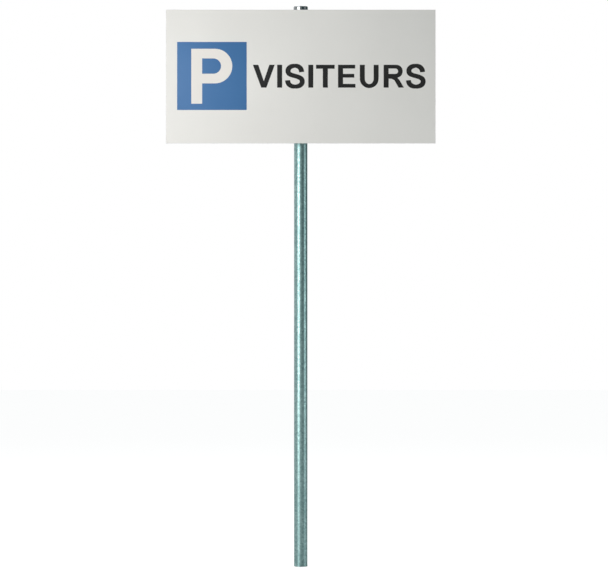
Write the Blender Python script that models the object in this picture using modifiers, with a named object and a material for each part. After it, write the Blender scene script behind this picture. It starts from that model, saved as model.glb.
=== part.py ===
"""Road sign on a round galvanised post.

A flat sheet panel carries two horizontal slotted rails, bonded to its back with foam tape. Each rail
is held to the post by a two-part clamp: an extruded saddle against the rail, and a bent strap behind
the post, drawn together by two bolts whose hex heads are captive in the rail. A pressed cap closes the
post. Metres, +Z up. The origin is on the post's axis at its foot, and the sign faces -Y.
"""
import math

import bmesh
import bpy

# Post and its cap
POST_DIAMETER = 0.0600
POST_WALL = 0.0020
POST_LENGTH = 2.5000
CAP_WALL = 0.0017
CAP_ROOF = 0.0030
CAP_SKIRT = 0.0250
CAP_EDGE_RADIUS = 0.0050
CAP_CROWN = 0.0012
CAP_ARC_STEP = math.radians(15.0)

# Panel, with its top edge just below the top of the post
PANEL_WIDTH = 1.2000
PANEL_HEIGHT = 0.5950
PANEL_THICKNESS = 0.0030
PANEL_EDGE_BEVEL = 0.0004
PANEL_TOP_DROP = 0.0170

# Fasteners: M8 hex bolts, plain washers and self-locking nuts
BOLT_DIAMETER = 0.0080
BOLT_TIP_CHAMFER = 0.0010
BOLT_TIP_BEYOND_NUT = 0.0040
HEX_ACROSS_FLATS = 0.0130
HEX_CHAMFER_SLOPE = 0.5
HEAD_THICKNESS = 0.0053
NUT_THICKNESS = 0.0065
NUT_COLLAR_HEIGHT = 0.0020
NUT_COLLAR_INSET = 0.0006
NUT_COLLAR_EDGE = 0.0010
WASHER_DIAMETER = 0.0160
WASHER_THICKNESS = 0.0016

# Rails, their tapes and their end plugs
RAIL_END_INSET = 0.0500
RAIL_EDGE_INSET = 0.1300
RAIL_WALL = 0.0020
RAIL_BASE_HEIGHT = 0.0360
TAPE_THICKNESS = 0.0010
TAPE_MARGIN = 0.0030
PLUG_FLANGE = 0.0015
PLUG_SPIGOT = 0.0120

# Clamps
CLAMP_HEIGHT = 0.0300
STRAP_THICKNESS = 0.0030
STRAP_BEND_RADIUS = 0.0030
STRAP_EAR_SETBACK = 0.0040
EAR_MARGIN = 0.0050
SADDLE_WEB = 0.0047
SADDLE_HORN = 0.0045
SADDLE_WRAP = math.radians(62.0)
CLAMP_EDGE_BEVEL = 0.0005

# Clearances
GAP = 0.0003
BOLT_PLAY = 0.0005
HEAD_SIDE_PLAY = 0.0005
HEAD_DEPTH_PLAY = 0.0027
WASHER_TO_BEND = 0.0008
CUT_MARGIN = 0.0020

# Smoothness of the round shapes
POST_SEGMENTS = 64
BOLT_SEGMENTS = 24
ARC_STEP = math.radians(7.0)
SMOOTH_LIMIT = math.radians(35.0)

# Sizes that follow from those above, in the order of the fits from the post outwards
post_radius = POST_DIAMETER / 2
seat_radius = post_radius + GAP
strap_outer_radius = seat_radius + STRAP_THICKNESS
bolt_radius = BOLT_DIAMETER / 2
bolt_hole_radius = bolt_radius + BOLT_PLAY
washer_radius = WASHER_DIAMETER / 2
hex_corner_radius = HEX_ACROSS_FLATS / 2 / math.cos(math.pi / 6)

# The strap's bend is an arc about a point where the outer arc and the ear's back are both tangent to it
ear_front_y = -STRAP_EAR_SETBACK
ear_back_y = ear_front_y + STRAP_THICKNESS
bend_centre_y = ear_back_y + STRAP_BEND_RADIUS
bend_centre_x = math.sqrt((strap_outer_radius + STRAP_BEND_RADIUS) ** 2 - bend_centre_y ** 2)
bend_angle = math.atan2(bend_centre_y, bend_centre_x)
bolt_x = bend_centre_x + WASHER_TO_BEND + washer_radius
ear_tip_x = bolt_x + washer_radius + EAR_MARGIN

# Depths, from the post towards the front of the sign (-Y)
saddle_front_y = -(seat_radius + SADDLE_WEB)
rail_back_y = saddle_front_y - GAP
rail_body_height = HEX_ACROSS_FLATS + 2 * HEAD_SIDE_PLAY + 2 * RAIL_WALL
rail_slot_height = 2 * bolt_hole_radius
rail_depth = 2 * RAIL_WALL + HEAD_THICKNESS + HEAD_DEPTH_PLAY
rail_front_y = rail_back_y - rail_depth
tape_front_y = rail_front_y - GAP - TAPE_THICKNESS
panel_back_y = tape_front_y - GAP
panel_front_y = panel_back_y - PANEL_THICKNESS
head_back_y = rail_back_y - RAIL_WALL - GAP
head_front_y = head_back_y - HEAD_THICKNESS
washer_front_y = ear_back_y + GAP
nut_front_y = washer_front_y + WASHER_THICKNESS + GAP
bolt_tip_y = nut_front_y + NUT_THICKNESS + NUT_COLLAR_HEIGHT + BOLT_TIP_BEYOND_NUT

# Heights
panel_top_z = POST_LENGTH - PANEL_TOP_DROP
panel_centre_z = panel_top_z - PANEL_HEIGHT / 2
rail_length = PANEL_WIDTH - 2 * RAIL_END_INSET
rail_heights = {
    "upper": panel_top_z - RAIL_EDGE_INSET,
    "lower": panel_top_z - PANEL_HEIGHT + RAIL_EDGE_INSET,
}
sides = {"left": -1, "right": 1}

# A quarter turn that lays a shape modelled upright along Y, with its top to the back
LAID_BACK = (math.radians(-90.0), 0.0, 0.0)
UPRIGHT = (0.0, 0.0, 0.0)


def remove_everything():
    """Start from an empty scene."""
    for thing in list(bpy.data.objects):
        bpy.data.objects.remove(thing, do_unlink=True)
    for collection in list(bpy.data.collections):
        bpy.data.collections.remove(collection)


def make_material(name, colour, roughness, metallic):
    """A plain Principled material."""
    material = bpy.data.materials.new(name)
    material.use_nodes = True
    shader = material.node_tree.nodes["Principled BSDF"]
    shader.inputs["Base Color"].default_value = (*colour, 1.0)
    shader.inputs["Roughness"].default_value = roughness
    shader.inputs["Metallic"].default_value = metallic
    material.diffuse_color = (*colour, 1.0)
    return material


def arc(radius, start, end, centre=(0.0, 0.0), step_angle=ARC_STEP):
    """Points along an arc from one angle to another, both ends included."""
    steps = max(2, math.ceil(abs(end - start) / step_angle))
    points = []
    for step in range(steps + 1):
        angle = start + (end - start) * step / steps
        points.append((centre[0] + radius * math.cos(angle), centre[1] + radius * math.sin(angle)))
    return points


def mirrored_x(points):
    """The same points on the other side of X = 0, in the opposite order."""
    return [(-x, y) for x, y in reversed(points)]


def as_mesh(thing):
    """The evaluated mesh of a working object, merged; the object itself is removed."""
    bpy.context.view_layer.update()
    evaluated = thing.evaluated_get(bpy.context.evaluated_depsgraph_get())
    mesh = bpy.data.meshes.new_from_object(evaluated)
    shape = bmesh.new()
    shape.from_mesh(mesh)
    bmesh.ops.remove_doubles(shape, verts=shape.verts, dist=1e-6)
    shape.to_mesh(mesh)
    shape.free()
    bpy.data.objects.remove(thing, do_unlink=True)
    return mesh


def working_object(data, collection):
    """An object for a shape that is still being made."""
    thing = bpy.data.objects.new("working", data)
    collection.objects.link(thing)
    return thing


def extruded(outline, thickness):
    """A flat outline in XY, given a thickness centred on Z = 0."""
    curve = bpy.data.curves.new("outline", "CURVE")
    curve.dimensions = "2D"
    curve.fill_mode = "BOTH"
    curve.extrude = thickness / 2
    spline = curve.splines.new("POLY")
    spline.points.add(len(outline) - 1)
    for point, (x, y) in zip(spline.points, outline):
        point.co = (x, y, 0.0, 1.0)
    spline.use_cyclic_u = True
    return as_mesh(working_object(curve, cutters))


def turned(profile, segments, closed):
    """A profile of (radius, height) points, which runs down its outer side, turned about Z."""
    mesh = bpy.data.meshes.new("profile")
    last = len(profile) - 1
    edges = [(i, i + 1) for i in range(last)]
    if closed:
        edges.append((last, 0))
    mesh.from_pydata([(radius, 0.0, height) for radius, height in profile], edges, [])
    thing = working_object(mesh, cutters)
    screw = thing.modifiers.new("turn", "SCREW")
    screw.steps = segments
    screw.render_steps = segments
    screw.use_merge_vertices = True
    screw.merge_threshold = 0.00001
    return as_mesh(thing)


def ring(inner_radius, outer_radius, bottom, top):
    """A plain ring about Z."""
    return [(outer_radius, top), (outer_radius, bottom), (inner_radius, bottom), (inner_radius, top)]


def combined(mesh, tool, operation):
    """One mesh joined with another, or cut by it."""
    thing = working_object(mesh, cutters)
    cutter = working_object(tool, cutters)
    cutter.display_type = "WIRE"
    cutter.hide_render = True
    boolean = thing.modifiers.new("combine", "BOOLEAN")
    boolean.operation = operation
    boolean.solver = "EXACT"
    boolean.object = cutter
    result = as_mesh(thing)
    bpy.data.objects.remove(cutter, do_unlink=True)
    return result


def bevelled(mesh, width):
    """Small chamfers along the sharp edges, on a copy that keeps the faces flat."""
    thing = working_object(mesh, cutters)
    bevel = thing.modifiers.new("edges", "BEVEL")
    bevel.width = width
    bevel.segments = 1
    bevel.limit_method = "ANGLE"
    bevel.angle_limit = math.radians(50.0)
    return as_mesh(thing)


def moved(mesh, offset, turn=UPRIGHT):
    """A mesh turned by Euler angles and then moved, in its own coordinates."""
    thing = working_object(mesh, cutters)
    thing.rotation_euler = turn
    thing.location = offset
    bpy.context.view_layer.update()
    mesh.transform(thing.matrix_world)
    bpy.data.objects.remove(thing, do_unlink=True)
    return mesh


def box(size, centre):
    """A box as a mesh."""
    mesh = bpy.data.meshes.new("box")
    shape = bmesh.new()
    bmesh.ops.create_cube(shape, size=1.0)
    bmesh.ops.scale(shape, vec=size, verts=shape.verts)
    bmesh.ops.translate(shape, vec=centre, verts=shape.verts)
    shape.to_mesh(mesh)
    shape.free()
    return mesh


def hex_prism(bottom, top):
    """A hexagonal prism about Z with its corners on the X axis."""
    mesh = bpy.data.meshes.new("hex")
    shape = bmesh.new()
    bmesh.ops.create_cone(
        shape, cap_ends=True, segments=6,
        radius1=hex_corner_radius, radius2=hex_corner_radius, depth=top - bottom)
    first_corner = max(shape.verts, key=lambda vert: vert.co.x)
    turn_back = -math.atan2(first_corner.co.y, first_corner.co.x)
    cosine = math.cos(turn_back)
    sine = math.sin(turn_back)
    for vert in shape.verts:
        x = vert.co.x
        y = vert.co.y
        vert.co.x = x * cosine - y * sine
        vert.co.y = x * sine + y * cosine
        vert.co.z += (top + bottom) / 2
    shape.to_mesh(mesh)
    shape.free()
    return mesh


def add_empty(name, location, parent=None):
    """The frame that a moving group hangs on, placed by its world location."""
    empty = bpy.data.objects.new(name, None)
    empty.empty_display_size = 0.1
    empty["world"] = location
    if parent:
        empty.parent = parent
        location = [a - b for a, b in zip(location, parent["world"])]
    empty.location = location
    assembly.objects.link(empty)
    return empty


def add_part(name, mesh, material, location=(0.0, 0.0, 0.0), turn=UPRIGHT, parent=None):
    """One finished piece as its own named object, placed by its world location."""
    if not mesh.materials:
        mesh.materials.append(material)
    mesh.shade_smooth()
    mesh.set_sharp_from_angle(angle=SMOOTH_LIMIT)
    part = bpy.data.objects.new(name, mesh)
    if parent:
        part.parent = parent
        location = [a - b for a, b in zip(location, parent["world"])]
    part.location = location
    part.rotation_euler = turn
    assembly.objects.link(part)
    return part


def post_tube_mesh():
    """Round tube, sawn square at both ends."""
    return turned(ring(post_radius - POST_WALL, post_radius, 0.0, POST_LENGTH), POST_SEGMENTS, True)


def post_cap_mesh():
    """Pressed cap with a low crown, a rounded edge and a skirt over the tube's end."""
    outer = seat_radius + CAP_WALL
    roof = GAP
    shoulder = roof + CAP_ROOF
    edge_centre = (outer - CAP_EDGE_RADIUS, shoulder - CAP_EDGE_RADIUS)
    profile = [(0.0, shoulder + CAP_CROWN), (outer / 2, shoulder + CAP_CROWN * 0.75)]
    profile += arc(CAP_EDGE_RADIUS, math.radians(90.0), 0.0, edge_centre, CAP_ARC_STEP)
    profile += [(outer, -CAP_SKIRT), (seat_radius, -CAP_SKIRT), (seat_radius, roof), (0.0, roof)]
    return turned(profile, POST_SEGMENTS, False)


def panel_mesh():
    """Flat sheet with square corners and lightly broken edges."""
    return bevelled(box((PANEL_WIDTH, PANEL_THICKNESS, PANEL_HEIGHT), (0.0, 0.0, 0.0)), PANEL_EDGE_BEVEL)


def rail_mesh():
    """Extruded section: a wide bonding base with a lipped channel on its back, open towards the post.

    The outline is drawn with the depth as X, from the base's front face, and the height as Y.
    """
    body = rail_body_height / 2
    slot = rail_slot_height / 2
    lip = rail_depth - RAIL_WALL
    half = [
        (RAIL_WALL, body - RAIL_WALL),
        (lip, body - RAIL_WALL),
        (lip, slot),
        (rail_depth, slot),
        (rail_depth, body),
        (RAIL_WALL, body),
        (RAIL_WALL, RAIL_BASE_HEIGHT / 2),
        (0.0, RAIL_BASE_HEIGHT / 2),
    ]
    outline = half + [(depth, -height) for depth, height in reversed(half)]
    mesh = extruded(outline, rail_length)
    return moved(mesh, (0.0, 0.0, 0.0), (math.radians(90.0), 0.0, math.radians(90.0)))


def tape_mesh():
    """Double-sided foam tape between a rail's base and the panel."""
    size = (rail_length - 2 * TAPE_MARGIN, TAPE_THICKNESS, RAIL_BASE_HEIGHT - 2 * TAPE_MARGIN)
    return box(size, (0.0, 0.0, 0.0))


def plug_mesh(side):
    """Moulded end plug: a flange over the channel's end and a spigot inside it."""
    cavity_height = rail_body_height - 2 * RAIL_WALL
    cavity_depth = rail_depth - 2 * RAIL_WALL
    flange_x = side * (GAP + PLUG_FLANGE / 2)
    flange = box((PLUG_FLANGE, rail_depth, rail_body_height), (flange_x, rail_depth / 2, 0.0))
    spigot_length = PLUG_SPIGOT + GAP + PLUG_FLANGE / 2
    spigot_x = flange_x - side * spigot_length / 2
    spigot_size = (spigot_length, cavity_depth - 2 * GAP, cavity_height - 2 * GAP)
    spigot = box(spigot_size, (spigot_x, rail_depth / 2, 0.0))
    return combined(flange, spigot, "UNION")


def bolt_bore(radius, front_y, back_y):
    """A cutter along Y for a bolt hole."""
    length = back_y - front_y + 2 * CUT_MARGIN
    cutter = turned([(0.0, length), (radius, length), (radius, 0.0), (0.0, 0.0)], BOLT_SEGMENTS, False)
    return moved(cutter, (0.0, front_y - CUT_MARGIN, 0.0), LAID_BACK)


def with_bolt_holes(mesh, front_y, back_y):
    """Holes for the clamp's two bolts."""
    for side in sides.values():
        cutter = moved(bolt_bore(bolt_hole_radius, front_y, back_y), (side * bolt_x, 0.0, 0.0))
        mesh = combined(mesh, cutter, "DIFFERENCE")
    return mesh


def saddle_mesh():
    """Extruded front half of a clamp: a flat web on the rail and two horns that cup the post."""
    plate_back_y = saddle_front_y + SADDLE_HORN
    horn_root_x = seat_radius + SADDLE_HORN + STRAP_BEND_RADIUS / 2
    tip_angle = -math.pi / 2 + SADDLE_WRAP
    tip_radius = seat_radius + SADDLE_HORN
    half = [
        (ear_tip_x, saddle_front_y),
        (ear_tip_x, plate_back_y),
        (horn_root_x, plate_back_y),
        (tip_radius * math.cos(tip_angle), tip_radius * math.sin(tip_angle)),
    ]
    half += arc(seat_radius, tip_angle, -math.pi / 2)[:-1]
    outline = half + [(0.0, -seat_radius)] + mirrored_x(half)
    mesh = bevelled(extruded(outline, CLAMP_HEIGHT), CLAMP_EDGE_BEVEL)
    return with_bolt_holes(mesh, saddle_front_y, plate_back_y)


def strap_mesh():
    """Bent flat bar: the rear half of a clamp, with an ear on each side."""
    bend_centre = (bend_centre_x, bend_centre_y)
    bend_end = -math.pi + bend_angle
    bend_outside = STRAP_BEND_RADIUS + STRAP_THICKNESS
    inner = [(ear_tip_x, ear_front_y)]
    inner += arc(bend_outside, -math.pi / 2, bend_end, bend_centre)
    inner += arc(seat_radius, bend_angle, math.pi / 2)[1:-1]
    outer = [(ear_tip_x, ear_back_y)]
    outer += arc(STRAP_BEND_RADIUS, -math.pi / 2, bend_end, bend_centre)
    outer += arc(strap_outer_radius, bend_angle, math.pi / 2)[1:-1]
    inner_line = inner + [(0.0, seat_radius)] + mirrored_x(inner)
    outer_line = outer + [(0.0, strap_outer_radius)] + mirrored_x(outer)
    outline = inner_line + list(reversed(outer_line))
    mesh = bevelled(extruded(outline, CLAMP_HEIGHT), CLAMP_EDGE_BEVEL)
    return with_bolt_holes(mesh, ear_front_y, ear_back_y)


def chamfering_disc(height):
    """The turned blank that takes the corners off the top of a hexagon."""
    wide = hex_corner_radius + CUT_MARGIN
    narrow = HEX_ACROSS_FLATS / 2
    slope = (wide - narrow) * HEX_CHAMFER_SLOPE
    return turned([
        (0.0, height), (narrow, height), (wide, height - slope), (wide, -CUT_MARGIN), (0.0, -CUT_MARGIN),
    ], BOLT_SEGMENTS, False)


def bolt_mesh():
    """Hex bolt about Z, with its head's front at Z = 0 and its tip on top."""
    length = bolt_tip_y - head_front_y
    head = hex_prism(0.0, HEAD_THICKNESS)
    shank_start = HEAD_THICKNESS / 2
    shank = turned([
        (0.0, length),
        (bolt_radius - BOLT_TIP_CHAMFER, length),
        (bolt_radius, length - BOLT_TIP_CHAMFER),
        (bolt_radius, shank_start),
        (0.0, shank_start),
    ], BOLT_SEGMENTS, False)
    return combined(head, shank, "UNION")


def washer_mesh():
    """Plain washer about Z."""
    bore = bolt_radius + GAP
    return turned(ring(bore, washer_radius, 0.0, WASHER_THICKNESS), BOLT_SEGMENTS, True)


def nut_mesh():
    """Self-locking hex nut about Z, with a round collar on its outer end."""
    bore = bolt_radius + GAP
    top = NUT_THICKNESS + NUT_COLLAR_HEIGHT
    body = combined(hex_prism(0.0, NUT_THICKNESS), chamfering_disc(NUT_THICKNESS), "INTERSECT")
    collar_radius = HEX_ACROSS_FLATS / 2 - NUT_COLLAR_INSET
    collar = turned([
        (0.0, top),
        (collar_radius - NUT_COLLAR_EDGE, top),
        (collar_radius, top - NUT_COLLAR_EDGE),
        (collar_radius, NUT_THICKNESS / 2),
        (0.0, NUT_THICKNESS / 2),
    ], BOLT_SEGMENTS, False)
    solid = combined(body, collar, "UNION")
    cutter = turned([
        (0.0, top + CUT_MARGIN), (bore, top + CUT_MARGIN), (bore, -CUT_MARGIN), (0.0, -CUT_MARGIN),
    ], BOLT_SEGMENTS, False)
    return combined(solid, cutter, "DIFFERENCE")


def build_post():
    """The fixed tube and the cap that lifts off it."""
    add_part("post_tube", post_tube_mesh(), galvanised)
    cap_lift = add_empty("cap_lift", (0.0, 0.0, POST_LENGTH))
    add_part("post_cap", post_cap_mesh(), cap_metal, (0.0, 0.0, POST_LENGTH), parent=cap_lift)


def build_sign(frame):
    """The panel with its tapes, rails and plugs, which shift sideways together."""
    panel_centre = (0.0, (panel_front_y + panel_back_y) / 2, panel_centre_z)
    add_part("sign_panel", panel_mesh(), panel_white, panel_centre, parent=frame)
    tape = tape_mesh()
    rail = rail_mesh()
    plugs = {name: plug_mesh(side) for name, side in sides.items()}
    for level, height in rail_heights.items():
        tape_centre = (0.0, tape_front_y + TAPE_THICKNESS / 2, height)
        add_part(f"{level}_bond_tape", tape, foam_tape, tape_centre, parent=frame)
        add_part(f"{level}_rail", rail, rail_aluminium, (0.0, rail_front_y, height), parent=frame)
        for name, side in sides.items():
            end = (side * rail_length / 2, rail_front_y, height)
            add_part(f"{level}_rail_plug_{name}", plugs[name], plug_plastic, end, parent=frame)


def build_clamps(frame):
    """The two clamps, which slide on the post together."""
    saddle = saddle_mesh()
    strap = strap_mesh()
    bolt = bolt_mesh()
    washer = washer_mesh()
    nut = nut_mesh()
    for level, height in rail_heights.items():
        add_part(f"{level}_clamp_saddle", saddle, clamp_aluminium, (0.0, 0.0, height), parent=frame)
        add_part(f"{level}_clamp_strap", strap, strap_steel, (0.0, 0.0, height), parent=frame)
        for name, side in sides.items():
            x = side * bolt_x
            end = f"{level}_{name}"
            add_part(f"bolt_{end}", bolt, bolt_steel, (x, head_front_y, height), LAID_BACK, frame)
            add_part(f"washer_{end}", washer, washer_steel, (x, washer_front_y, height), LAID_BACK, frame)
            add_part(f"nut_{end}", nut, nut_steel, (x, nut_front_y, height), LAID_BACK, frame)


remove_everything()
assembly = bpy.data.collections.new("signpost")
cutters = bpy.data.collections.new("cutters")
bpy.context.scene.collection.children.link(assembly)
bpy.context.scene.collection.children.link(cutters)

galvanised = make_material("galvanised_post", (0.42, 0.50, 0.49), 0.42, 0.9)
cap_metal = make_material("cap_metal", (0.40, 0.42, 0.43), 0.2, 1.0)
panel_white = make_material("panel_white", (0.82, 0.81, 0.78), 0.3, 0.0)
foam_tape = make_material("foam_tape", (0.05, 0.05, 0.05), 0.8, 0.0)
rail_aluminium = make_material("rail_aluminium", (0.72, 0.73, 0.74), 0.35, 1.0)
plug_plastic = make_material("plug_plastic", (0.03, 0.03, 0.03), 0.45, 0.0)
clamp_aluminium = make_material("clamp_aluminium", (0.66, 0.67, 0.68), 0.4, 1.0)
strap_steel = make_material("strap_steel", (0.50, 0.52, 0.53), 0.45, 1.0)
bolt_steel = make_material("bolt_steel", (0.62, 0.61, 0.58), 0.3, 1.0)
washer_steel = make_material("washer_steel", (0.60, 0.60, 0.58), 0.35, 1.0)
nut_steel = make_material("nut_steel", (0.63, 0.62, 0.59), 0.3, 1.0)

build_post()
clamp_carriage = add_empty("clamp_carriage", (0.0, 0.0, panel_centre_z))
build_clamps(clamp_carriage)
sign_carriage = add_empty("sign_carriage", (0.0, rail_back_y, panel_centre_z), clamp_carriage)
build_sign(sign_carriage)
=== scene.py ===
"""The look of a parking sign on a galvanised post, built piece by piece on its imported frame.

Metres, +Z up, the sign faces -Y. Each section makes one piece: its sizes, its mesh and its finish.
"""
import math

import bmesh
import bpy
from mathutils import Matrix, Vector
from mathutils.geometry import interpolate_bezier


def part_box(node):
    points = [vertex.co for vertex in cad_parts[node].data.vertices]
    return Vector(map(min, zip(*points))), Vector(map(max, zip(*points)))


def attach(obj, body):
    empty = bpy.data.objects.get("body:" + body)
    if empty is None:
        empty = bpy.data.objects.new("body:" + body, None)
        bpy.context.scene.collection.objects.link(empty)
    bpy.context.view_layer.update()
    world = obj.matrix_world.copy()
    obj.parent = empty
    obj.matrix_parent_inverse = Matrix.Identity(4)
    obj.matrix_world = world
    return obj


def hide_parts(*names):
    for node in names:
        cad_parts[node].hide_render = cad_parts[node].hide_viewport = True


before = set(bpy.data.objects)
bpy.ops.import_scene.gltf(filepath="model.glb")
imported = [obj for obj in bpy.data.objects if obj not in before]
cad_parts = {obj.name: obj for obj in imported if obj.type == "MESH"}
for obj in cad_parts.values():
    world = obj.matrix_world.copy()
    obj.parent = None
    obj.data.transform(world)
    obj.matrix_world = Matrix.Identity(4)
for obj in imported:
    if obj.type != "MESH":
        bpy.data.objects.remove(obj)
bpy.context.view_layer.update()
bpy.ops.object.select_all(action="DESELECT")


# ---------------------------------------------------------------------------
# Post tube. A welded round steel tube, sawn square and hot-dip galvanised, so
# the zinc shows crystals, faint runs down its length and a weld seam at the back.

tube_low, tube_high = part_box("post_tube")
tube_radius = tube_high.x
tube_wall = 0.0020
tube_rim_bevel = 0.0004
tube_segments = 128


class Number:
    """A shader socket in Python arithmetic: each operator adds a Math node."""

    def __init__(self, tree, socket):
        self.tree = tree
        self.socket = socket

    def joined(self, operation, *terms):
        node = self.tree.nodes.new("ShaderNodeMath")
        node.operation = operation
        for slot, term in zip(node.inputs, terms):
            if isinstance(term, Number):
                self.tree.links.new(term.socket, slot)
            else:
                slot.default_value = term
        return Number(self.tree, node.outputs[0])

    def __add__(self, other):
        return self.joined("ADD", self, other)

    __radd__ = __add__

    def __mul__(self, other):
        return self.joined("MULTIPLY", self, other)

    __rmul__ = __mul__

    def __sub__(self, other):
        return self.joined("SUBTRACT", self, other)

    def __rsub__(self, other):
        return self.joined("SUBTRACT", other, self)

    def __gt__(self, other):
        return self.joined("GREATER_THAN", self, other)

    def size(self):
        return self.joined("ABSOLUTE", self)

    def angle_beside(self, other):
        """The angle whose tangent is this number over the other, all the way round."""
        return self.joined("ARCTAN2", self, other)


class Finish:
    """A material in the making, with a Principled shader at its end."""

    def __init__(self, name, **constants):
        self.material = bpy.data.materials.new(name)
        self.material.use_nodes = True
        self.tree = self.material.node_tree
        self.shader = self.tree.nodes["Principled BSDF"]
        for socket, value in constants.items():
            self.shader.inputs[socket].default_value = value
        self.place = self.node("ShaderNodeTexCoord").outputs["Object"]

    def node(self, kind, settings=None, **sockets):
        """One node: its settings first, then the values or links of its sockets."""
        node = self.tree.nodes.new(kind)
        for setting, value in (settings or {}).items():
            setattr(node, setting, value)
        for name, value in sockets.items():
            socket = node.inputs[int(name[1:]) if name[0] == "_" else name.replace("_", " ")]
            if isinstance(value, Number):
                self.tree.links.new(value.socket, socket)
            elif isinstance(value, bpy.types.NodeSocket):
                self.tree.links.new(value, socket)
            else:
                socket.default_value = value
        return node

    def number(self, node, output=0):
        return Number(self.tree, node.outputs[output])

    def stretched(self, scale):
        """Object coordinates scaled by axis, for grain that runs one way."""
        mapping = self.node("ShaderNodeMapping", Vector=self.place, Scale=scale)
        return mapping.outputs[0]

    def noise(self, scale, detail=2.0, roughness=0.5, place=None):
        texture = self.node(
            "ShaderNodeTexNoise", Vector=place or self.place, Scale=scale, Detail=detail, Roughness=roughness)
        return self.number(texture)

    def cells(self, scale, place=None):
        """A random number for each cell of a crystal pattern."""
        texture = self.node("ShaderNodeTexVoronoi", Vector=place or self.place, Scale=scale)
        split = self.node("ShaderNodeSeparateColor", Color=texture.outputs["Color"])
        return self.number(split)

    def spread(self, number, low, high, out_low=0.0, out_high=1.0):
        """A number's range stretched or narrowed to another, and held inside it."""
        node = self.node("ShaderNodeMapRange", _0=number, _1=low, _2=high, _3=out_low, _4=out_high)
        return self.number(node)

    def blend(self, mask, dark, light):
        """Two colours mixed by a mask."""
        node = self.node("ShaderNodeMix", {"data_type": "RGBA"}, _0=mask)
        for slot, colour in ((node.inputs[6], dark), (node.inputs[7], light)):
            if isinstance(colour, bpy.types.NodeSocket):
                self.tree.links.new(colour, slot)
            else:
                slot.default_value = (*colour, 1.0)
        return node.outputs[2]

    def feed(self, socket, value):
        """The shader's own socket driven by a number or a colour."""
        source = value.socket if isinstance(value, Number) else value
        self.tree.links.new(source, self.shader.inputs[socket])

    def emboss(self, height, distance, strength=1.0):
        """Height in the surface, through a Bump node."""
        bump = self.node("ShaderNodeBump", Height=height, Distance=distance, Strength=strength)
        self.tree.links.new(bump.outputs[0], self.shader.inputs["Normal"])


def galvanised(name, dark, light, crystal, roughness, seam=False):
    """Hot-dip zinc: crystals of two sizes, soft runs down the length, and cloudy weathering."""
    coat = Finish(name, **{"Metallic": 0.95, "Anisotropic": 0.85, "Anisotropic Rotation": 0.25})
    large = coat.cells(crystal)
    small = coat.cells(crystal * 2.7)
    feathers = coat.noise(crystal * 4.0, 3.0, 0.6)
    runs = coat.noise(1.0, 3.0, 0.55, coat.stretched((90.0, 90.0, 5.0)))
    clouds = coat.noise(5.0, 3.0, 0.5)
    tone = large * 0.42 + small * 0.22 + feathers * 0.16 + runs * 0.20
    tone = tone + (clouds - 0.5) * 0.35
    coat.feed("Base Color", coat.blend(coat.spread(tone, 0.15, 0.85), dark, light))
    coat.feed("Roughness", coat.spread(tone, 0.1, 0.9, roughness + 0.07, roughness - 0.06))
    height = small * 0.5 + feathers * 0.3 + runs * 0.5
    if seam:
        axes = coat.node("ShaderNodeSeparateXYZ", Vector=coat.place)
        across = coat.number(axes, 0).size()
        behind = coat.number(axes, 1) > 0.0
        ridge = coat.spread(across, 0.0005, 0.0022, 1.0, 0.0) * behind
        height = height + ridge * 3.0
    coat.emboss(height, 0.00005, 0.25)
    return coat.material


def select_only(piece):
    """Selects one piece and makes it the active one."""
    bpy.ops.object.select_all(action="DESELECT")
    piece.select_set(True)
    bpy.context.view_layer.objects.active = piece


def apply_place(piece):
    """Puts the piece's location, turn and scale in its mesh, and its origin at the world's."""
    select_only(piece)
    bpy.ops.object.transform_apply(location=True, rotation=True, scale=True)


def modify(piece, kind, **settings):
    """Adds one modifier and applies it."""
    select_only(piece)
    modifier = piece.modifiers.new(kind.title(), kind)
    for setting, value in settings.items():
        setattr(modifier, setting, value)
    bpy.ops.object.modifier_apply(modifier=modifier.name)


def finish_piece(piece, name, body, material, node=None, smooth=30.0):
    """Names a piece, gives it its finish, and ties it to its body and CAD node."""
    piece.name = name
    piece.data.name = name
    piece.data.materials.clear()
    piece.data.materials.append(material)
    select_only(piece)
    bpy.ops.object.shade_smooth_by_angle(angle=math.radians(smooth))
    bpy.ops.object.select_all(action="DESELECT")
    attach(piece, body)
    if node:
        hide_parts(node)


bpy.ops.mesh.primitive_cylinder_add(
    vertices=tube_segments, radius=tube_radius, depth=tube_high.z - tube_low.z,
    end_fill_type="NOTHING", location=(0.0, 0.0, (tube_high.z + tube_low.z) / 2))
tube = bpy.context.object
apply_place(tube)
modify(tube, "SOLIDIFY", thickness=tube_wall, offset=-1.0, use_even_offset=True)
modify(tube, "BEVEL", width=tube_rim_bevel, segments=2, limit_method="ANGLE", angle_limit=math.radians(60.0))
post_zinc = galvanised("galvanised_tube", (0.22, 0.40, 0.40), (0.49, 0.70, 0.69), 120.0, 0.42, seam=True)
finish_piece(tube, "galvanised_tube", "post", post_zinc, "post_tube")


# ---------------------------------------------------------------------------
# Post cap. A bright pressed cup with a rounded shoulder and a low crown, pushed
# over the tube's end. Its skirt carries the fine rings of the forming tool.

cap_low, cap_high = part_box("post_cap")
cap_radius = cap_high.x
cap_wall = 0.0017
cap_roof = 0.0003
cap_crown = 0.0012
cap_shoulder = cap_high.z - cap_crown
cap_edge = 0.0050
cap_segments = 96
cap_rim_bevel = 0.0004
crown_steps = ((0.007, 0.45), (0.008, 0.35), (0.006, 0.20))


def edit(piece):
    """Edit mode on one piece, with nothing in it selected."""
    select_only(piece)
    bpy.ops.object.mode_set(mode="EDIT")
    bpy.ops.mesh.select_mode(type="FACE")
    bpy.ops.mesh.select_all(action="DESELECT")


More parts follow.
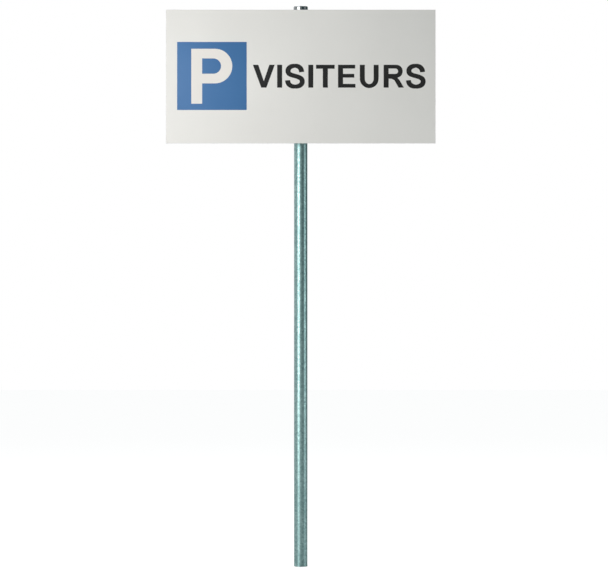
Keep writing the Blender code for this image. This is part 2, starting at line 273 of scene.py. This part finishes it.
def pick_faces(piece, test):
    """Selects the faces whose centre and normal pass a test, and stays in edit mode."""
    bpy.ops.mesh.select_mode(type="FACE")
    bpy.ops.mesh.select_all(action="DESELECT")
    bpy.ops.object.mode_set(mode="OBJECT")
    for face in piece.data.polygons:
        face.select = test(face.center, face.normal)
    bpy.ops.object.mode_set(mode="EDIT")


def pick_edges(piece, test):
    """Selects the edges whose two ends both pass a test, and stays in edit mode."""
    bpy.ops.mesh.select_mode(type="EDGE")
    bpy.ops.mesh.select_all(action="DESELECT")
    bpy.ops.object.mode_set(mode="OBJECT")
    ends = piece.data.vertices
    for edge in piece.data.edges:
        edge.select = all(test(ends[index].co) for index in edge.vertices)
    bpy.ops.object.mode_set(mode="EDIT")


bpy.ops.mesh.primitive_cylinder_add(
    vertices=cap_segments, radius=cap_radius, depth=cap_shoulder - cap_low.z,
    location=(0.0, 0.0, (cap_shoulder + cap_low.z) / 2))
cap = bpy.context.object
apply_place(cap)
edit(cap)
pick_faces(cap, lambda centre, normal: normal.z < -0.9)
bpy.ops.mesh.inset(thickness=cap_wall)
bpy.ops.mesh.extrude_region_move(
    TRANSFORM_OT_translate={"value": (0.0, 0.0, tube_high.z + cap_roof - cap_low.z)})
pick_edges(cap, lambda end: end.z > cap_shoulder - 0.0001)
bpy.ops.mesh.bevel(offset=cap_edge, segments=8, profile=0.5, affect="EDGES")
for inset, rise in crown_steps:
    pick_faces(cap, lambda centre, normal: normal.z > 0.9 and centre.xy.length < 0.001
               and centre.z > tube_high.z + 0.001)
    bpy.ops.mesh.inset(thickness=inset)
    bpy.ops.transform.translate(value=(0.0, 0.0, cap_crown * rise))
pick_edges(cap, lambda end: end.z < cap_low.z + 0.0001)
bpy.ops.mesh.bevel(offset=cap_rim_bevel, segments=2, affect="EDGES")
bpy.ops.object.mode_set(mode="OBJECT")


def bright_metal(name, dark, light, roughness, grain, rings):
    """Smooth bright metal with faint tool marks: grain scales the marks along X, Y and Z."""
    coat = Finish(name, Metallic=1.0)
    marks = coat.noise(1.0, 3.0, 0.6, coat.stretched(grain))
    clouds = coat.noise(35.0, 3.0, 0.55)
    tone = marks * 0.6 + clouds * 0.4
    coat.feed("Base Color", coat.blend(coat.spread(tone, 0.25, 0.75), dark, light))
    coat.feed("Roughness", coat.spread(tone, 0.2, 0.8, roughness - 0.05, roughness + 0.07))
    coat.emboss(marks, 0.00003, rings)
    return coat.material


cap_finish = bright_metal("bright_cap", (0.27, 0.29, 0.30), (0.46, 0.48, 0.49), 0.18, (4.0, 4.0, 900.0), 0.35)
finish_piece(cap, "bright_cap", "cap", cap_finish, "post_cap", 40.0)


# ---------------------------------------------------------------------------
# Clamps. Each is an extruded aluminium saddle that lies on a rail and cups the
# post, and a galvanised flat bar bent round the post's back.


def dressed(node, body, material, bevel, name, segments=2, smooth=30.0):
    """A finished piece from a CAD node's shape: its faces joined up and its edges rounded."""
    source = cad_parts[node]
    piece = bpy.data.objects.new(name, source.data.copy())
    bpy.context.scene.collection.objects.link(piece)
    shape = bmesh.new()
    shape.from_mesh(piece.data)
    bmesh.ops.remove_doubles(shape, verts=shape.verts, dist=0.000002)
    bmesh.ops.dissolve_limit(
        shape, angle_limit=math.radians(0.3), verts=shape.verts, edges=shape.edges)
    shape.to_mesh(piece.data)
    shape.free()
    if bevel:
        modify(piece, "BEVEL", width=bevel, segments=segments, limit_method="ANGLE",
               angle_limit=math.radians(40.0), use_clamp_overlap=True)
    finish_piece(piece, name, body, material, node, smooth)
    return piece


saddle_finish = bright_metal(
    "saddle_extrusion", (0.50, 0.51, 0.52), (0.66, 0.67, 0.68), 0.36, (500.0, 500.0, 12.0), 0.5)
strap_zinc = galvanised("strap_zinc", (0.40, 0.43, 0.44), (0.62, 0.65, 0.66), 190.0, 0.38)

levels = ("upper", "lower")
sides = ("left", "right")

for level in levels:
    dressed(f"{level}_clamp_saddle", "clamps", saddle_finish, 0, f"{level}_saddle")
    dressed(f"{level}_clamp_strap", "clamps", strap_zinc, 0, f"{level}_strap")


# ---------------------------------------------------------------------------
# Fasteners. Zinc-plated M8 hex bolts whose rolled threads run the whole shank,
# plain washers, and self-locking nuts, each with a nylon ring in its collar.

hex_across = 0.0130
head_thickness = 0.0053
head_bevel = 0.0004
tip_bevel = 0.0008
thread_crest = 0.0040
thread_root = 0.0034
thread_pitch = 0.00125
thread_flank = 0.00048
thread_crest_width = 0.00026
tip_clear = 0.0009

zinc_plate = bright_metal(
    "zinc_plate", (0.52, 0.51, 0.47), (0.74, 0.74, 0.72), 0.27, (420.0, 420.0, 420.0), 0.3)


def turn_normals_out(piece):
    """Joins doubled points, closes open ends and points every face outwards."""
    edit(piece)
    bpy.ops.mesh.select_all(action="SELECT")
    bpy.ops.mesh.remove_doubles(threshold=0.000002)
    bpy.ops.mesh.fill_holes(sides=8)
    bpy.ops.mesh.select_all(action="SELECT")
    bpy.ops.mesh.normals_make_consistent(inside=False)
    bpy.ops.object.mode_set(mode="OBJECT")


def rolled_thread(start, turns):
    """One closed ridge wound up a shank about Z."""
    inside = thread_root - 0.0002
    crest_start = start + thread_flank
    profile = (
        (inside, 0.0, start), (thread_crest, 0.0, crest_start),
        (thread_crest, 0.0, crest_start + thread_crest_width),
        (inside, 0.0, crest_start + thread_crest_width + thread_flank))
    shape = bpy.data.meshes.new("thread")
    shape.from_pydata(profile, ((0, 1), (1, 2), (2, 3), (3, 0)), ())
    thread = bpy.data.objects.new("thread", shape)
    bpy.context.scene.collection.objects.link(thread)
    modify(thread, "SCREW", axis="Z", screw_offset=thread_pitch, iterations=turns,
           steps=18, render_steps=18, use_smooth_shade=False)
    turn_normals_out(thread)
    return thread


def hex_bolt(length):
    """A bolt about Z: a bevelled hex head, a core with a pointed tip, and its thread."""
    bpy.ops.mesh.primitive_cylinder_add(
        vertices=6, radius=hex_across / math.sqrt(3.0), depth=head_thickness,
        location=(0.0, 0.0, head_thickness / 2), rotation=(0.0, 0.0, math.radians(30.0)))
    head = bpy.context.object
    apply_place(head)
    modify(head, "BEVEL", width=head_bevel, segments=2, limit_method="ANGLE")
    core_start = head_thickness / 2
    bpy.ops.mesh.primitive_cylinder_add(
        vertices=36, radius=thread_root, depth=length - core_start,
        location=(0.0, 0.0, (length + core_start) / 2))
    core = bpy.context.object
    apply_place(core)
    edit(core)
    pick_edges(core, lambda end: end.z > length - 0.0001)
    bpy.ops.mesh.bevel(offset=tip_bevel, segments=2, affect="EDGES")
    bpy.ops.object.mode_set(mode="OBJECT")
    turns = int((length - tip_clear - head_thickness) / thread_pitch)
    thread = rolled_thread(length - tip_clear - turns * thread_pitch, turns)
    bpy.ops.object.select_all(action="DESELECT")
    for part in (head, core, thread):
        part.select_set(True)
    bpy.context.view_layer.objects.active = head
    bpy.ops.object.join()
    return head


def laid_back(piece, x, y, z):
    """A copy with its own mesh, its Z turned to the back of the sign."""
    copy = piece.copy()
    copy.data = piece.data.copy()
    bpy.context.scene.collection.objects.link(copy)
    copy.location = (x, y, z)
    copy.rotation_euler = (math.radians(-90.0), 0.0, 0.0)
    apply_place(copy)
    return copy


bolt_low, bolt_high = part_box("bolt_upper_left")
first_bolt = hex_bolt(bolt_high.y - bolt_low.y)

ring_radius = 0.0049
ring_thickness = 0.0005
ring_flat = 0.0001
bpy.ops.mesh.primitive_torus_add(
    major_radius=ring_radius, minor_radius=ring_thickness, major_segments=40, minor_segments=10)
first_ring = bpy.context.object
edit(first_ring)
pick_faces(first_ring, lambda centre, normal: normal.z > 0.8)
bpy.ops.transform.translate(value=(0.0, 0.0, -ring_flat))
bpy.ops.object.mode_set(mode="OBJECT")
nylon = Finish("nylon_insert", Metallic=0.0)
nylon_marks = nylon.noise(2400.0, 2.0, 0.6)
nylon.feed("Base Color", nylon.blend(nylon_marks, (0.70, 0.71, 0.70), (0.82, 0.83, 0.82)))
nylon.feed("Roughness", nylon.spread(nylon_marks, 0.3, 0.7, 0.38, 0.50))
nylon.emboss(nylon_marks, 0.00002, 0.4)

for level in levels:
    for side in sides:
        end = f"{level}_{side}"
        low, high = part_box(f"bolt_{end}")
        middle_x = (low.x + high.x) / 2
        middle_z = (low.z + high.z) / 2
        bolt = laid_back(first_bolt, middle_x, low.y, middle_z)
        finish_piece(bolt, f"hex_bolt_{end}", "clamps", zinc_plate, f"bolt_{end}")
        dressed(f"washer_{end}", "clamps", zinc_plate, 0.0002, f"plain_washer_{end}", 1)
        dressed(f"nut_{end}", "clamps", zinc_plate, 0, f"lock_nut_{end}")
        nut_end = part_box(f"nut_{end}")[1].y
        ring = laid_back(first_ring, middle_x, nut_end, middle_z)
        finish_piece(ring, f"nylon_ring_{end}", "clamps", nylon.material)

bpy.data.objects.remove(first_bolt)
bpy.data.objects.remove(first_ring)


# ---------------------------------------------------------------------------
# Rails, tapes and plugs. Mill-finish extrusions with die lines along them, held
# to the panel by black acrylic foam tape, and closed by moulded plugs.

rail_finish = bright_metal(
    "rail_extrusion", (0.56, 0.57, 0.58), (0.72, 0.73, 0.74), 0.33, (6.0, 700.0, 700.0), 0.5)


def moulded_plastic(name, dark, light, roughness, grain):
    """Black moulded plastic with a fine even texture."""
    coat = Finish(name, Metallic=0.0)
    fine = coat.noise(grain, 2.0, 0.6)
    broad = coat.noise(60.0, 2.0, 0.5)
    coat.feed("Base Color", coat.blend(coat.spread(broad, 0.3, 0.7), dark, light))
    coat.feed("Roughness", coat.spread(fine, 0.3, 0.7, roughness - 0.05, roughness + 0.08))
    coat.emboss(fine, 0.00005, 0.5)
    return coat.material


plug_finish = moulded_plastic("moulded_plug", (0.018, 0.018, 0.019), (0.035, 0.035, 0.036), 0.45, 1800.0)
foam_finish = moulded_plastic("acrylic_foam", (0.030, 0.030, 0.031), (0.055, 0.054, 0.053), 0.85, 2600.0)

for level in levels:
    dressed(f"{level}_bond_tape", "sign", foam_finish, 0.0001, f"{level}_foam_tape", 1)
    dressed(f"{level}_rail", "sign", rail_finish, 0.0003, f"{level}_slotted_rail")
    for side in sides:
        dressed(f"{level}_rail_plug_{side}", "sign", plug_finish, 0.0004,
                f"{level}_end_plug_{side}")


# ---------------------------------------------------------------------------
# Panel. A cut aluminium sheet coated pale grey on its back and edges, and a warm
# white satin film over the whole of its front.

panel_low, panel_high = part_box("sign_panel")
film_thickness = 0.00012
film_inset = 0.0006


def sheet_metal(name):
    """The sheet's pale grey coating, with a slight orange peel and faint handling marks."""
    coat = Finish(name, Metallic=0.0)
    peel = coat.noise(420.0, 2.0, 0.5)
    marks = coat.noise(9.0, 4.0, 0.6, coat.stretched((1.0, 1.0, 2.5)))
    coat.feed("Base Color", coat.blend(coat.spread(marks, 0.3, 0.7), (0.52, 0.53, 0.53), (0.60, 0.61, 0.61)))
    coat.feed("Roughness", coat.spread(marks, 0.3, 0.7, 0.42, 0.34))
    coat.emboss(peel, 0.00004, 0.4)
    return coat.material


def vinyl_film(name, dark, light, roughness):
    """Satin self-adhesive film: nearly even colour, a little cloudiness and a soft peel."""
    coat = Finish(name, **{"Metallic": 0.0, "Specular IOR Level": 0.30})
    peel = coat.noise(260.0, 2.0, 0.5)
    fibre = coat.noise(1500.0, 2.0, 0.6)
    clouds = coat.noise(3.5, 3.0, 0.5)
    tone = clouds * 0.75 + peel * 0.25
    coat.feed("Base Color", coat.blend(coat.spread(tone, 0.3, 0.7), dark, light))
    coat.feed("Roughness", coat.spread(tone, 0.3, 0.7, roughness + 0.04, roughness - 0.04))
    coat.emboss(peel * 0.7 + fibre * 0.3, 0.00003, 0.35)
    return coat.material


def flat_box(low, high):
    """A box between two corners, with its place in its mesh."""
    size = [b - a for a, b in zip(low, high)]
    centre = [(a + b) / 2 for a, b in zip(low, high)]
    bpy.ops.mesh.primitive_cube_add(size=1.0, location=centre, scale=size)
    piece = bpy.context.object
    apply_place(piece)
    return piece


coated_sheet = dressed(
    "sign_panel", "sign", sheet_metal("coated_sheet"), 0, "coated_sheet", smooth=20.0)

film_front = panel_low.y - film_thickness
white_film = flat_box(
    (panel_low.x + film_inset, film_front, panel_low.z + film_inset),
    (panel_high.x - film_inset, panel_low.y - 0.00001, panel_high.z - film_inset))
modify(white_film, "BEVEL", width=0.00005, segments=2, limit_method="ANGLE")
white_vinyl = vinyl_film("white_vinyl", (0.765, 0.755, 0.730), (0.800, 0.790, 0.765), 0.48)
finish_piece(white_film, "white_film", "sign", white_vinyl)


# ---------------------------------------------------------------------------
# Blue square with the letter P, the public sign for parking: cut films laid on
# the white one, the blue first and the letter over it.

panel_left = panel_low.x
panel_top = panel_high.z
layer = 0.00012
square_left = 0.0495
square_top = 0.1434
square_width = 0.3100
square_height = 0.3030

blue_low = (panel_left + square_left, film_front - layer, panel_top - square_top - square_height)
blue_high = (panel_left + square_left + square_width, film_front - 0.00001, panel_top - square_top)
blue_square = flat_box(blue_low, blue_high)
modify(blue_square, "BEVEL", width=0.00004, segments=2, limit_method="ANGLE")
blue_vinyl = vinyl_film("blue_vinyl", (0.054, 0.168, 0.385), (0.066, 0.188, 0.415), 0.48)
finish_piece(blue_square, "blue_square", "sign", blue_vinyl)


def arc(centre, radii, start, end, steps=24):
    """Points along an ellipse from one angle to another, in degrees, both ends included."""
    points = []
    for step in range(steps + 1):
        angle = math.radians(start + (end - start) * step / steps)
        points.append((centre[0] + radii[0] * math.cos(angle), centre[1] + radii[1] * math.sin(angle)))
    return points


def cut_film(name, outlines, left, base, front, material):
    """A letter cut from film: flat outlines, inner ones as holes, stood up on the panel."""
    curve = bpy.data.curves.new(name, "CURVE")
    curve.dimensions = "2D"
    curve.fill_mode = "BOTH"
    curve.extrude = layer / 2
    for outline in outlines:
        spline = curve.splines.new("POLY")
        spline.points.add(len(outline) - 1)
        for point, (x, y) in zip(spline.points, outline):
            point.co = (x, y, 0.0, 1.0)
        spline.use_cyclic_u = True
    letter = bpy.data.objects.new(name, curve)
    bpy.context.scene.collection.objects.link(letter)
    select_only(letter)
    bpy.ops.object.convert(target="MESH")
    letter = bpy.context.object
    letter.rotation_euler = (math.radians(90.0), 0.0, 0.0)
    letter.location = (left, front + layer / 2, base)
    apply_place(letter)
    edit(letter)
    bpy.ops.mesh.select_all(action="SELECT")
    bpy.ops.mesh.remove_doubles(threshold=0.000005)
    bpy.ops.object.mode_set(mode="OBJECT")
    finish_piece(letter, name, "sign", material)
    return letter


p_height = 0.2447
p_stem = 0.0484
p_bar = 0.0430
p_bowl_height = 0.1540
p_width = 0.1826
p_side = 0.0502
p_left = 0.1126
p_base = 0.4185
bowl_radius = p_bowl_height / 2
counter_radius = bowl_radius - p_bar
bowl_middle = p_height - bowl_radius
p_outside = [(0.0, 0.0), (p_stem, 0.0), (p_stem, p_height - p_bowl_height)]
p_outside += arc((p_width - bowl_radius, bowl_middle), (bowl_radius, bowl_radius), -90.0, 90.0)
p_outside += [(0.0, p_height)]
p_counter = [(p_stem, bowl_middle + counter_radius), (p_stem, bowl_middle - counter_radius)]
counter_middle = (p_width - p_side - counter_radius, bowl_middle)
p_counter += arc(counter_middle, (counter_radius, counter_radius), -90.0, 90.0)
p_vinyl = vinyl_film("letter_white_vinyl", (0.835, 0.800, 0.760), (0.865, 0.830, 0.790), 0.48)
blue_front = film_front - layer
cut_film(
    "letter_p", [p_outside, p_counter], panel_left + p_left, panel_top - p_base, blue_front - layer, p_vinyl)


# ---------------------------------------------------------------------------
# The word. Nine letters cut from near-black film in a plain bold face, each its
# own piece, with heavier uprights than level strokes.

cap_height = 0.1017
word_base = 0.3468
upright = 0.0224
level_stroke = 0.0166


def letter_v():
    width = 0.0975
    arm = 0.0242
    foot = 0.0232
    inner_apex = 0.0292
    middle = width / 2
    return [[
        (0.0, cap_height), (arm, cap_height), (middle, inner_apex), (width - arm, cap_height),
        (width, cap_height), (middle + foot / 2, 0.0), (middle - foot / 2, 0.0),
    ]]


def letter_i():
    return [[(0.0, 0.0), (upright, 0.0), (upright, cap_height), (0.0, cap_height)]]


def letter_t():
    width = 0.0830
    left = (width - upright) / 2
    under = cap_height - level_stroke - 0.0008
    tip_under = under - 0.0001
    return [[
        (left, 0.0), (left + upright, 0.0), (left + upright, under), (width, tip_under),
        (width, cap_height), (0.0, cap_height), (0.0, tip_under), (left, under),
    ]]


def letter_e():
    width = 0.0777
    middle_width = 0.0724
    middle_low = 0.0447
    middle_high = middle_low + level_stroke
    top_low = cap_height - level_stroke
    return [[
        (0.0, 0.0), (width, 0.0), (width, level_stroke), (upright, level_stroke), (upright, middle_low),
        (middle_width, middle_low), (middle_width, middle_high), (upright, middle_high),
        (upright, top_low), (width - 0.0012, top_low), (width - 0.0012, cap_height), (0.0, cap_height),
    ]]


def letter_u():
    width = 0.0840
    outer = width / 2
    depth = 0.0420
    below = 0.0020
    bowl_base = depth - below
    inner = outer - upright
    inner_depth = bowl_base - level_stroke - 0.0010 + below
    outside = [(0.0, cap_height)]
    outside += arc((outer, bowl_base), (outer, depth), 180.0, 360.0)
    outside += [(width, cap_height)]
    inside = [(width - upright, cap_height)]
    inside += arc((outer, bowl_base), (inner, inner_depth), 360.0, 180.0)
    return [outside + inside + [(upright, cap_height)]]


def letter_r():
    width = 0.0906
    bowl_right = 0.0848
    counter_right = 0.0644
    bowl_low = 0.0441
    counter_low = bowl_low + level_stroke + 0.0004
    counter_high = cap_height - level_stroke
    bowl_half = (cap_height - bowl_low) / 2
    counter_half = (counter_high - counter_low) / 2
    bowl_round = bowl_half * 0.95
    leg_top = 0.0395
    outside = [(0.0, 0.0), (upright, 0.0), (upright, leg_top), (0.0345, leg_top)]
    outside += [(0.0480, 0.0330), (0.0665, 0.0), (width, 0.0), (0.0700, 0.0345), (0.0610, 0.0440)]
    outside += arc((bowl_right - bowl_round, bowl_low + bowl_half), (bowl_round, bowl_half), -68.0, 90.0)
    outside += [(0.0, cap_height)]
    counter = [(upright, counter_high), (upright, counter_low)]
    counter_middle = (counter_right - counter_half, counter_low + counter_half)
    counter += arc(counter_middle, (counter_half, counter_half), -90.0, 90.0)
    return [outside, counter]


def letter_s():
    """A stroke along a double curve, heavier in the spine than at top and bottom."""
    half_width = 0.0325
    half_height = 0.0463
    knots = [
        ((0.0300, 0.0185), (0.0300, 0.0185), (0.0290, 0.0360)),
        ((0.0000, half_height), (0.0170, half_height), (-0.0175, half_height)),
        ((-0.0310, 0.0245), (-0.0310, 0.0370), (-0.0310, 0.0080)),
        ((0.0005, 0.0010), (-0.0180, 0.0060), (0.0180, -0.0040)),
        ((half_width, -0.0230), (half_width, -0.0085), (half_width, -0.0380)),
        ((0.0000, -half_height), (0.0190, -half_height), (-0.0185, -half_height)),
        ((-half_width, -0.0180), (-half_width, -0.0370), (-half_width, -0.0180)),
    ]
    line = []
    for first, second in zip(knots, knots[1:]):
        corners = [Vector((*point, 0.0)) for point in (first[0], first[2], second[1], second[0])]
        line += interpolate_bezier(*corners, 14)[:-1]
    line.append(Vector((*knots[-1][0], 0.0)))
    left_side = []
    right_side = []
    for index, point in enumerate(line):
        ahead = line[min(index + 1, len(line) - 1)]
        behind = line[max(index - 1, 0)]
        along = (ahead - behind).normalized()
        width = level_stroke + (upright - level_stroke) * abs(along.y) ** 0.5
        across = Vector((-along.y, along.x, 0.0)) * width / 2
        left_side.append(point + across)
        right_side.append(point - across)
    centre = Vector((half_width + upright / 2, cap_height / 2, 0.0))
    return [[tuple((point + centre).xy) for point in left_side + right_side[::-1]]]


word = (
    ("v", letter_v, 0.3868), ("i_1", letter_i, 0.4948), ("s_1", letter_s, 0.5305), ("i_2", letter_i, 0.6335),
    ("t", letter_t, 0.6680), ("e", letter_e, 0.7660), ("u", letter_u, 0.8630), ("r", letter_r, 0.9690),
    ("s_2", letter_s, 1.0688),
)
dark_vinyl = vinyl_film("dark_vinyl", (0.006, 0.006, 0.006), (0.012, 0.012, 0.012), 0.55)
for name, shape, left in word:
    cut_film(
        f"letter_{name}", shape(), panel_left + left, panel_top - word_base, film_front - layer, dark_vinyl)


# ---------------------------------------------------------------------------
# Studio. A pale floor, one tall soft lamp at the front left, a fill high behind,
# a strip at the right, and a soft sky that is darker to the front right.

floor_size = 40.0


def stage_paint(name, colour, showing, mirrored):
    """Matt paint that also glows white to the eye, and less in reflections."""
    material = bpy.data.materials.new(name)
    material.use_nodes = True
    tree = material.node_tree
    tree.nodes.clear()
    light_path = tree.nodes.new("ShaderNodeLightPath")
    seen = Number(tree, light_path.outputs["Is Camera Ray"]) * showing
    seen = seen + Number(tree, light_path.outputs["Is Glossy Ray"]) * mirrored
    seen = seen + Number(tree, light_path.outputs["Is Transmission Ray"]) * mirrored
    matt = tree.nodes.new("ShaderNodeBsdfDiffuse")
    matt.inputs["Color"].default_value = (*colour, 1.0)
    glow = tree.nodes.new("ShaderNodeEmission")
    tree.links.new(seen.socket, glow.inputs["Strength"])
    both = tree.nodes.new("ShaderNodeAddShader")
    tree.links.new(matt.outputs[0], both.inputs[0])
    tree.links.new(glow.outputs[0], both.inputs[1])
    output = tree.nodes.new("ShaderNodeOutputMaterial")
    tree.links.new(both.outputs[0], output.inputs["Surface"])
    return material


bpy.ops.mesh.primitive_plane_add(size=floor_size, location=(0.0, 0.0, -0.0005))
floor = bpy.context.object
floor.name = "floor"
floor.data.materials.append(stage_paint("floor_paint", (0.48, 0.48, 0.48), 0.75, 0.08))


def soft_lamp(name, place, aim, width, height, power, colour):
    """A rectangular soft lamp aimed at a point."""
    lamp = bpy.data.lights.new(name, "AREA")
    lamp.shape = "RECTANGLE"
    lamp.size = width
    lamp.size_y = height
    lamp.energy = power
    lamp.color = colour
    thing = bpy.data.objects.new(name, lamp)
    thing.location = place
    thing.rotation_euler = (Vector(aim) - Vector(place)).to_track_quat("-Z", "Y").to_euler()
    bpy.context.scene.collection.objects.link(thing)


soft_lamp("key", (-2.85, -3.8, 2.10), (0.0, 0.0, 1.95), 3.0, 3.7, 156.0, (1.0, 0.99, 0.97))
soft_lamp("back_fill", (0.0, 3.5, 6.0), (0.0, 0.0, 2.0), 3.0, 2.0, 110.0, (1.0, 1.0, 1.0))
soft_lamp("strip", (2.70, -0.55, 1.1), (0.0, 0.0, 1.1), 0.5, 2.15, 12.0, (0.97, 1.0, 1.0))

world = bpy.data.worlds.new("studio")
bpy.context.scene.world = world
world.use_nodes = True
sky = world.node_tree
sky.nodes.clear()
direction = sky.nodes.new("ShaderNodeTexCoord")
axes = sky.nodes.new("ShaderNodeSeparateXYZ")
sky.links.new(direction.outputs["Generated"], axes.inputs[0])
forward = Number(sky, axes.outputs[1]) * -1.0
turn = Number(sky, axes.outputs[0]).angle_beside(forward)
around = turn * (0.5 / math.pi) + 0.5
ramp = sky.nodes.new("ShaderNodeValToRGB")
stops = (
    (-180.0, (0.72, 0.72, 0.72)), (-110.0, (0.76, 0.78, 0.78)), (-75.0, (0.58, 0.58, 0.58)),
    (-15.0, (0.58, 0.58, 0.58)), (8.0, (0.36, 0.40, 0.40)), (24.0, (0.02, 0.06, 0.065)),
    (48.0, (0.02, 0.06, 0.065)), (62.0, (0.40, 0.43, 0.43)), (88.0, (0.40, 0.43, 0.43)),
    (100.0, (0.02, 0.06, 0.065)), (128.0, (0.02, 0.06, 0.065)), (160.0, (0.68, 0.68, 0.68)),
)
while len(ramp.color_ramp.elements) < len(stops):
    ramp.color_ramp.elements.new(0.5)
for element, (degrees, colour) in zip(ramp.color_ramp.elements, stops):
    element.position = degrees / 360.0 + 0.5
    element.color = (*colour, 1.0)
sky.links.new(around.socket, ramp.inputs[0])
light_path = sky.nodes.new("ShaderNodeLightPath")
seen = sky.nodes.new("ShaderNodeMix")
seen.data_type = "RGBA"
sky.links.new(light_path.outputs["Is Camera Ray"], seen.inputs[0])
sky.links.new(ramp.outputs[0], seen.inputs[6])
seen.inputs[7].default_value = (1.0, 1.0, 1.0, 1.0)
background = sky.nodes.new("ShaderNodeBackground")
sky.links.new(seen.outputs[2], background.inputs["Color"])
sky_output = sky.nodes.new("ShaderNodeOutputWorld")
sky.links.new(background.outputs[0], sky_output.inputs["Surface"])

camera_distance = 12.0
view_width = 2.719
view_centre = (0.0145, 1.2618)
camera = bpy.data.cameras.new("camera")
camera.sensor_width = 36.0
camera.lens = camera.sensor_width * camera_distance / view_width
camera_object = bpy.data.objects.new("camera", camera)
camera_object.location = (view_centre[0], -camera_distance, view_centre[1])
camera_object.rotation_euler = (math.radians(90.0), 0.0, 0.0)
bpy.context.scene.collection.objects.link(camera_object)
bpy.context.scene.camera = camera_object
bpy.context.scene.view_settings.view_transform = "Standard"
